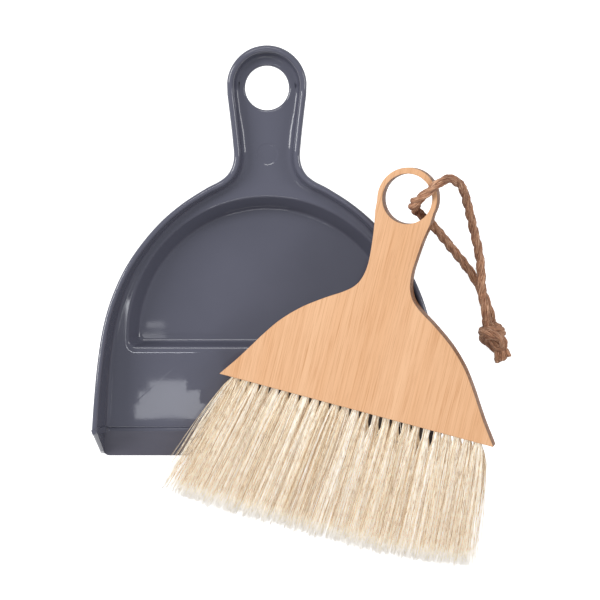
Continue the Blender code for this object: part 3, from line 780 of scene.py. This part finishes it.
def hanging_hole_rows():
    """Closed rows from the web over the hole's edge and down its collar."""
    y, radius, edge = PAN_HOLE_Y, PAN_HOLE_RADIUS, PAN_HOLE_FILLET
    rounded = fillet(web_circle(y, radius + edge, 0), web_circle(y, radius, 0),
                     web_circle(y, radius, edge), FILLET_STEPS)
    first, last = web_circle(y, radius + edge + HOLD, 0), web_circle(y, radius, PAN_HOLE_COLLAR)
    return [first] + rounded + [last]


def ejector_rows():
    y, radius, edge = EJECTOR_Y, EJECTOR_RADIUS, EJECTOR_EDGE
    return [web_circle(y, radius + edge + HOLD, 0), web_circle(y, radius + edge, 0),
            web_circle(y, radius, EJECTOR_DEPTH), web_circle(y, radius - edge, EJECTOR_DEPTH)]


def add_strip(bm, rows, closed, onto=None):
    """Quads between neighbouring rows of points. The vertices of onto, if it is given, are the
    first row. Returns the rows of vertices."""
    grid = [onto] if onto else []
    grid += [[bm.verts.new(Vector(p) * MM) for p in row] for row in rows]
    for near, far in zip(grid, grid[1:]):
        last = len(near) if closed else len(near) - 1
        for k in range(last):
            n = (k + 1) % len(near)
            bm.faces.new((near[k], near[n], far[n], far[k]))
    return grid


def ring_edges(bm, verts):
    return [bm.edges.get(pair) or bm.edges.new(pair) for pair in zip(verts, verts[1:] + verts[:1])]


def make_pan(finish):
    bm = bmesh.new()
    wall, rounded, tray = rim_and_wall_rows()
    wall_foot = add_strip(bm, wall, closed=False)[-1]
    foot = add_strip(bm, rounded, closed=False, onto=wall_foot[tray])[-1]
    for k in range(NOSE_STEPS + 1):
        bm.faces.new((foot[k], foot[k + 1], foot[-2 - k], foot[-1 - k]))
    floor_edge = foot[NOSE_STEPS + 1:len(foot) - NOSE_STEPS - 1]
    well = add_strip(bm, well_rows(), closed=True)
    hole = add_strip(bm, hanging_hole_rows(), closed=True)
    mark = add_strip(bm, ejector_rows(), closed=True)
    bm.faces.new(well[-1])
    bm.faces.new(mark[-1])
    rings = (floor_edge, well[0], hole[0], mark[0])
    around = [edge for ring in rings for edge in ring_edges(bm, ring)]
    filled = bmesh.ops.triangle_fill(bm, edges=around, use_beauty=True, normal=(0, 0, 1))["geom"]
    bmesh.ops.recalc_face_normals(bm, faces=bm.faces)
    bm.normal_update()
    largest = max(bm.faces, key=lambda face: face.calc_area())
    if largest.normal.z < 0:
        bmesh.ops.reverse_faces(bm, faces=bm.faces)
    bm.faces.index_update()
    level = [item.index for item in filled if isinstance(item, bmesh.types.BMFace)]
    shell = bm_object("dustpan_moulding", bm, finish, PAN_SHARP_DEGREES)
    for index in level:  # flat, so that the sloping plane doesn't bend what it mirrors
        shell.data.polygons[index].use_smooth = False
    thick = shell.modifiers.new("moulding_thickness", "SOLIDIFY")
    thick.thickness = PAN_WALL * MM
    thick.offset = -1.0
    apply_modifiers(shell)
    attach(shell, "pan")
    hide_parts("dustpan_shell")


def make_lip(finish):
    section = [(LIP_FRONT_Y, 0.0), (LIP_FRONT_Y, LIP_FRONT_THICKNESS),
               (LIP_BACK_Y, LIP_BACK_THICKNESS), (LIP_BACK_Y, LIP_TONGUE_THICKNESS),
               (LIP_TONGUE_Y, LIP_TONGUE_THICKNESS), (LIP_TONGUE_Y, 0.0)]
    bm = bmesh.new()
    left, right = ([bm.verts.new(Vector((x, y, z)) * MM) for y, z in section]
                   for x in (-LIP_HALF_WIDTH, LIP_HALF_WIDTH))
    bm.faces.new(left)
    bm.faces.new(right[::-1])
    for k in range(len(section)):
        n = (k + 1) % len(section)
        bm.faces.new((left[n], left[k], right[k], right[n]))
    bmesh.ops.recalc_face_normals(bm, faces=bm.faces)
    lip = bm_object("soft_front_lip", bm, finish)
    low, high = -CUT_CLEARANCE, LIP_BACK_THICKNESS + CUT_CLEARANCE
    plan = make_prism("lip_plan", lip_plan(), low, high, None)
    add_boolean(lip, "rounded_corners", "INTERSECT", plan)
    round_edges(lip, LIP_EDGE_ROUNDING, 4, 30)
    apply_modifiers(lip)
    bpy.data.objects.remove(plan)
    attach(lip, "pan")
    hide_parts("front_lip")


def lip_plan():
    """The lip from above: a narrower tongue at the back, and rounded front corners."""
    back, clear = LIP_TONGUE_Y + CUT_CLEARANCE, LIP_HALF_WIDTH + LIP_SIDE_CLEARANCE
    edge, front = LIP_HALF_WIDTH - LIP_CORNER, LIP_FRONT_Y + LIP_CORNER
    points = [(LIP_TONGUE_HALF_WIDTH, back), (-LIP_TONGUE_HALF_WIDTH, back),
              (-LIP_TONGUE_HALF_WIDTH, LIP_BACK_Y), (-clear, LIP_BACK_Y), (-clear, front)]
    for side, first in ((-1, 180), (1, 270)):
        for angle in np.radians(np.linspace(first, first + 90, LIP_CORNER_STEPS + 1)):
            x, y = LIP_CORNER * math.cos(angle), LIP_CORNER * math.sin(angle)
            points.append((side * edge + x, front + y))
    return points + [(clear, front), (clear, LIP_BACK_Y), (LIP_TONGUE_HALF_WIDTH, LIP_BACK_Y)]


def make_prism(name, plan, low, high, finish):
    """A solid with this plan, from low to high."""
    bm = bmesh.new()
    base = bm.faces.new([bm.verts.new(Vector((x, y, low)) * MM) for x, y in plan])
    raised = bmesh.ops.extrude_face_region(bm, geom=[base])["geom"]
    verts = [item for item in raised if isinstance(item, bmesh.types.BMVert)]
    bmesh.ops.translate(bm, verts=verts, vec=(0, 0, (high - low) * MM))
    bmesh.ops.recalc_face_normals(bm, faces=bm.faces)
    return bm_object(name, bm, finish)


# Brush.


def brush_matrix():
    """Where the brush's own frame lies: turned, then tipped about a level line under it."""
    lean = math.radians(BRUSH_LEAN)
    level = Vector((-math.sin(lean), math.cos(lean), 0))
    tip = Matrix.Rotation(math.radians(BRUSH_TILT), 4, level)
    yaw = Matrix.Rotation(math.radians(BRUSH_YAW), 4, "Z")
    return Matrix.Translation(Vector(BRUSH_PLACE) * MM) @ tip @ yaw


def block_plan():
    right = smooth_curve(BLOCK_EDGE, BLOCK_SAMPLES)
    angles = np.radians(np.linspace(RING_STARTS, 90, RING_SAMPLES))
    rise = np.where(angles > 0, RING_TOP_V - RING_CENTRE_V, RING_RADIUS)
    ring = np.column_stack([RING_RADIUS * np.cos(angles), RING_CENTRE_V + rise * np.sin(angles)])
    half = np.vstack([right, ring])
    return np.vstack([half, half[-2::-1] * (-1, 1)])


def tuft_roots():
    """(row, number, u, w) of every tuft."""
    middle = BLOCK_THICKNESS / 2
    roots = []
    for row, shift, side in (("front", 0.0, 1), ("back", BACK_ROW_SHIFT, -1)):
        for k in range(TUFTS_IN_ROW):
            u = (k - (TUFTS_IN_ROW - 1) / 2) * TUFT_PITCH + shift
            roots.append((row, k + 1, u, middle + side * ROW_OFFSET))
    return roots


def make_block(finish, placed):
    block = make_prism("brush_plate", block_plan(), 0.0, BLOCK_THICKNESS, finish)
    bpy.ops.mesh.primitive_cylinder_add(
        vertices=HANGING_HOLE_SIDES, radius=HANGING_HOLE_RADIUS * MM,
        depth=(BLOCK_THICKNESS + 2 * CUT_CLEARANCE) * MM,
        location=Vector((0, RING_CENTRE_V, BLOCK_THICKNESS / 2)) * MM)
    hole = bpy.context.object
    add_boolean(block, "hanging_hole", "DIFFERENCE", hole)
    round_edges(block, BLOCK_EDGE_BEVEL, 6, 40)
    drill = drill_cutter()
    add_boolean(block, "tuft_holes", "DIFFERENCE", drill)
    apply_modifiers(block)
    block.data.set_sharp_from_angle(angle=math.radians(BLOCK_SHARP_DEGREES))
    for used in (hole, drill):
        bpy.data.objects.remove(used)
    block.data.transform(placed)
    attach(block, "brush")
    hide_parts("brush_block")


def drill_cutter():
    bm = bmesh.new()
    for _, _, u, w in tuft_roots():
        place = Matrix.Translation(Vector((u, (HOLE_DEPTH - CUT_CLEARANCE) / 2, w)) * MM)
        bmesh.ops.create_cone(bm, cap_ends=True, segments=TUFT_HOLE_SIDES,
                              radius1=HOLE_RADIUS * MM, radius2=HOLE_RADIUS * MM,
                              depth=(HOLE_DEPTH + CUT_CLEARANCE) * MM,
                              matrix=place @ Matrix.Rotation(math.pi / 2, 4, "X"))
    return bm_object("tuft_drill", bm, None)


def bristle_lengths(rng, u):
    """Most bristles of a tuft end near its length, and some well short of it."""
    share = (LENGTH_SHARE + rng.normal(0, TUFT_LENGTH_SCATTER)
             - np.abs(rng.normal(0, SHORT_BRISTLES, BRISTLES_IN_TUFT))
             + rng.uniform(*LENGTH_VARIES, BRISTLES_IN_TUFT))
    return TUFT_LENGTH * share + TIP_BOW * (1 - ((u - TIP_BOW_U) / TIP_BOW_HALF_WIDTH) ** 4)


def open_dark_gaps(across, s):
    """Pushes the bristles by an open gap away from its middle, near their roots."""
    for gap in DARK_GAPS:
        away = across[:, :, 0] - gap * TUFT_PITCH
        half = DARK_GAP_HALF * np.clip(1 - s / DARK_GAP_END, 0, 1)[None]
        pushed = np.where(away < 0, -1, 1) * np.maximum(half - DARK_GAP_FADE * np.abs(away), 0)
        across[:, 1:, 0] += pushed[:, 1:]


def bristle_tones(rng, clump, is_front, s):
    """The tone of every bristle at each share s of its length, with painted shade on the back row.
    """
    tones = rng.beta(*TONE_SPREAD, BRISTLES_IN_TUFT)
    tones = np.clip(tones + rng.normal(0, CLUMP_TONE_SCATTER, CLUMPS_IN_TUFT)[clump], 0, 1)
    tones = np.where(rng.uniform(0, 1, BRISTLES_IN_TUFT) < TAN_BRISTLES, 0.0, tones)
    # Painted shade: the back row's bristles are darkened.
    tones = tones * (1 if is_front else BACK_ROW_PAINTED_SHADE)
    return tones[:, None] + TIP_TONE * blend(s, *TIP_TONE_OVER)[None]


def bristle_paths(rng, u, w):
    """(paths from inside the hole to the tip in the brush's frame, tone of each point on them)."""
    side = 1 if w > BLOCK_THICKNESS / 2 else -1
    count = BRISTLES_IN_TUFT
    turn = rng.uniform(0, 2 * math.pi, count)
    out = np.sqrt(rng.uniform(0, 1, count))
    disc = np.column_stack([out * np.cos(turn), out * np.sin(turn)])
    clumps = disc[rng.choice(count, CLUMPS_IN_TUFT, replace=False)]
    clump = np.argmin(((disc[:, None] - clumps[None]) ** 2).sum(2), axis=1)
    spread = disc + CLUMP_PULL * (clumps[clump] - disc)
    outer, left = float(blend(abs(u), *OUTER_U)), float(blend(-u, *STRAY_U))
    loose = np.array([STRAY + STRAY_AT_ENDS * outer + STRAY_AT_LEFT * left, STRAY])
    tip = spread * (TUFT_TIP_HALF_WIDTH * (1 + END_WIDENING * outer), TUFT_TIP_HALF_DEPTH)
    stray = rng.normal(0, 1, (count, 2)) * loose
    lean = np.array([u * (FAN_SPREAD - 1) + FAN_LEAN, side * (TIP_ROW_OFFSET - ROW_OFFSET)])
    lean = lean + rng.normal(0, TUFT_LEAN_SCATTER, 2)
    length = bristle_lengths(rng, u)
    s = np.linspace(0, 1, BRISTLE_STATIONS) ** STATION_CROWDING
    at = s[None, :, None]
    bend = rng.normal(0, BRISTLE_BEND, (count, 1, 2)) * np.sin(math.pi * at)
    wander = rng.normal(0, BRISTLE_WANDER, (count, 1, 2)) * np.sin(2 * math.pi * at)
    opened = np.sqrt(np.clip(at / rng.uniform(*OPEN_BY), 0, 1))
    fill = np.array([0 if side > 0 else GAP_FILL, 0]) * blend(at, 0.0, GAP_FILL_BY)
    root = disc[:, None] * TUFT_ROOT_RADIUS
    across = np.array([u, w]) + lean * at + root + (tip[:, None] - root) * opened
    across = across + stray[:, None] * at + fill + bend + wander
    open_dark_gaps(across, s)
    free = np.stack([across[:, :, 0], -s[None] * length[:, None], across[:, :, 1]], axis=2)
    buried = free[:, :1].copy()
    buried[:, 0, 1] = TUFT_ROOT_DEPTH
    tones = bristle_tones(rng, clump, side > 0, np.append(0, s))
    return np.concatenate([buried, free], axis=1), tones


def bristle_mesh(paths, radii):
    """Three-sided closed fibres along the paths: (points, faces)."""
    count, stations, _ = paths.shape
    corners = np.radians([90, 210, 330])
    ring = np.column_stack([np.cos(corners), 0 * corners, np.sin(corners)])
    points = paths[:, :, None] + ring[None, None] * radii[:, :, None, None]
    base = (np.arange(count)[:, None] * stations + np.arange(stations)[None]) * 3
    near, far = base[:, :-1], base[:, 1:]
    faces = []
    for k in range(3):
        n = (k + 1) % 3
        quads = np.stack([near + k, far + k, far + n, near + n], axis=2)
        faces += quads.reshape(-1, 4).tolist()
    first, last = base[:, 0], base[:, -1]
    faces += np.column_stack([first, first + 1, first + 2]).tolist()
    faces += np.column_stack([last + 2, last + 1, last]).tolist()
    return points.reshape(-1, 3), faces


def make_tufts(finish, placed):
    rng = np.random.default_rng(SEED)
    turn, shift = np.array(placed.to_3x3()), np.array(placed.translation) / MM
    for row, number, u, w in tuft_roots():
        paths, tones = bristle_paths(rng, u, w)
        count, stations, _ = paths.shape
        taper = np.linspace(BRISTLE_ROOT_RADIUS, BRISTLE_TIP_RADIUS, stations)
        radii = taper[None] * rng.uniform(*BRISTLE_RADIUS_VARIES, (count, 1))
        height = paths @ turn[2] + shift[2]
        lift = np.maximum(TABLE_GAP + radii - height, 0.0)  # the low ones lie on the table
        paths[:, :, 2] += lift / turn[2, 2]
        points, faces = bristle_mesh(paths, radii)
        tone = np.repeat(tones.ravel(), 3)
        name = f"{row}_bristles_{number:02d}"
        tuft = mesh_object(name, points * MM, faces, finish, {"tone": tone})
        tuft.data.transform(placed)
        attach(tuft, "brush")
        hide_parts(f"tuft_{row}_{number:02d}")


# Lanyard.


def path_frames(path):
    """(tangents, normals, binormals) that turn no more about the path than they must."""
    tangents = unit(np.gradient(path, axis=0))
    normal = np.cross(tangents[0], (0.0, 0.0, 1.0))
    normals = []
    for tangent in tangents:
        normal = normal - tangent * (normal @ tangent)
        normal = normal / np.linalg.norm(normal)
        normals.append(normal)
    normals = np.array(normals)
    return tangents, normals, np.cross(tangents, normals)


def distance_along(path):
    return np.concatenate([[0.0], np.cumsum(np.linalg.norm(np.diff(path, axis=0), axis=1))])


def tube(path, radius, sides, rng, roughness):
    """A closed tube with an uneven skin: (points, faces, place of each point round and along
    it)."""
    _, normals, binormals = path_frames(path)
    angles = np.linspace(0, 2 * math.pi, sides, endpoint=False)
    along = distance_along(path)
    uneven = np.zeros((len(path), sides))
    for _ in range(SKIN_WAVES):
        wave, turns = rng.uniform(*SKIN_WAVE_RATE), rng.integers(0, SKIN_WAVE_TURNS)
        uneven += np.sin(along[:, None] * wave + turns * angles[None] + rng.uniform(0, 2 * math.pi))
    r = np.broadcast_to(radius, len(path))[:, None] * (1 + roughness * uneven / SKIN_WAVES)
    cos, sin = np.cos(angles)[None], np.sin(angles)[None]
    ring = cos[:, :, None] * normals[:, None] + sin[:, :, None] * binormals[:, None]
    points = path[:, None] + r[:, :, None] * ring
    place = np.stack(np.broadcast_arrays(cos, sin, along[:, None]), axis=2)
    rows = np.arange(len(path) * sides).reshape(len(path), sides)
    faces = []
    for k in range(sides):
        n = (k + 1) % sides
        faces += np.column_stack([rows[:-1, k], rows[:-1, n], rows[1:, n], rows[1:, k]]).tolist()
    faces += [rows[0, ::-1].tolist(), rows[-1].tolist()]
    return points.reshape(-1, 3), faces, place.reshape(-1, 3)


def join_meshes(parts):
    """One (points, faces, places) from several."""
    points, faces, places, start = [], [], [], 0
    for part_points, part_faces, part_places in parts:
        points.append(part_points)
        places.append(part_places)
        faces += [[start + index for index in face] for face in part_faces]
        start += len(part_points)
    return np.vstack(points), faces, np.vstack(places)


def twisted_cord(path, scale, rng, splay=0.0, bend_at=None):
    """Plies laid round the path. splay opens them at the far end, and they also open about the
    point bend_at."""
    path = even_steps(path, CORD_STEP)
    _, normals, binormals = path_frames(path)
    along = distance_along(path)
    opening = 1 + splay * blend(along, along[-1] - TAIL_SPLAY_LENGTH, along[-1])
    if bend_at is not None:
        away = np.linalg.norm(path - np.array(bend_at), axis=1)
        opening += BEND_OPENING * (1 - blend(away, 0.0, BEND_REACH))
    parts = []
    for ply in range(PLIES):
        turn = 2 * math.pi * (along / LAY_LENGTH + ply / PLIES)
        wander = 1 + PLY_WANDER * np.sin(along / PLY_WANDER_LENGTH + PLY_WANDER_PHASE * ply)
        out = PLY_HELIX_RADIUS * scale * opening * wander
        outward = np.cos(turn)[:, None] * normals + np.sin(turn)[:, None] * binormals
        centre = path + out[:, None] * outward
        radius = PLY_RADIUS * scale * np.sqrt(opening)
        points, faces, place = tube(centre, radius, PLY_SIDES, rng, PLY_UNEVEN)
        place[:, 2] += PLY_PATTERN_SHIFT * ply + PATTERN_SCATTER * rng.uniform()
        parts.append((points, faces, place))
    return parts


def loose_fibres(path, radius, count, rng):
    """Thin hairs that stand off the cord's skin."""
    path = even_steps(path, CORD_STEP)
    tangents, normals, binormals = path_frames(path)
    t = np.linspace(0, 1, HAIR_POINTS)[:, None]
    parts = []
    for _ in range(count):
        k = rng.integers(2, len(path) - 2)
        turn = rng.uniform(0, 2 * math.pi)
        out = math.cos(turn) * normals[k] + math.sin(turn) * binormals[k]
        length = rng.uniform(*HAIR_LENGTH)
        lean = tangents[k] * rng.choice((-1, 1)) * rng.uniform(*HAIR_LEAN)
        lean = lean + HAIR_TURN * rng.normal(size=3)
        rise = rng.uniform(*HAIR_RISE) * length
        off = radius * HAIR_ROOT + HAIR_ARCH * rise * t * (2 - t)
        hair = path[k] + out * off + lean * length * t * t
        hair = hair + HAIR_WANDER * rng.normal(size=3) * np.sin(math.pi * t)
        hair[:, 2] = np.maximum(hair[:, 2], HAIR_LOWEST_Z)
        points, faces, place = tube(hair, HAIR_RADIUS, 3, rng, 0.0)
        place[:, 2] += PATTERN_SCATTER * rng.uniform()
        parts.append((points, faces, place))
    return parts


def knot_route(local):
    """A route in the knot's own directions, along, across and up, set in place."""
    ahead = unit(np.array(KNOT_HEADING))
    up = np.array((0.0, 0.0, 1.0))
    across = np.cross(up, ahead)
    return np.array(KNOT_CENTRE) + np.array(local) @ np.array([ahead, across, up])


def jute_object(name, parts, finish):
    points, faces, place = join_meshes(parts)
    piece = mesh_object(name, points * MM, faces, finish, {"ply_place": place})
    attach(piece, "lanyard")
    return piece


def make_lanyard(finish):
    rng = np.random.default_rng(SEED + 1)
    route = smooth_curve(CORD_ROUTE, CORD_SAMPLES)
    radius = CORD_DIAMETER / 2
    plies = twisted_cord(route, 1.0, rng, bend_at=CORD_ROUTE[RING_BEND])
    rope = jute_object("lanyard_rope", plies, finish)
    hairs, knotted = loose_fibres(route, radius, ROPE_HAIRS, rng), []
    for local in KNOT_ROUTES:
        path = smooth_curve(knot_route(local), KNOT_SAMPLES)
        knotted += twisted_cord(path, KNOT_CORD_SCALE, rng, splay=TAIL_SPLAY)
        hairs += loose_fibres(path, radius * KNOT_CORD_SCALE, KNOT_HAIRS, rng)
    knot = jute_object("lanyard_overhand_knot", knotted, finish)
    fuzz = jute_object("lanyard_loose_fibres", hairs, finish)
    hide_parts("lanyard_cord")
    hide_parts("lanyard_knot")
    path = even_steps(route, 2.0) * MM


def main():
    make_camera()
    make_lanyard(jute_material())
    make_table()
    make_lights()
    make_pan(plastic_material())
    make_lip(lip_material())
    placed = brush_matrix()
    make_block(wood_material(placed), placed)
    make_tufts(bristle_material(placed), placed)


main()
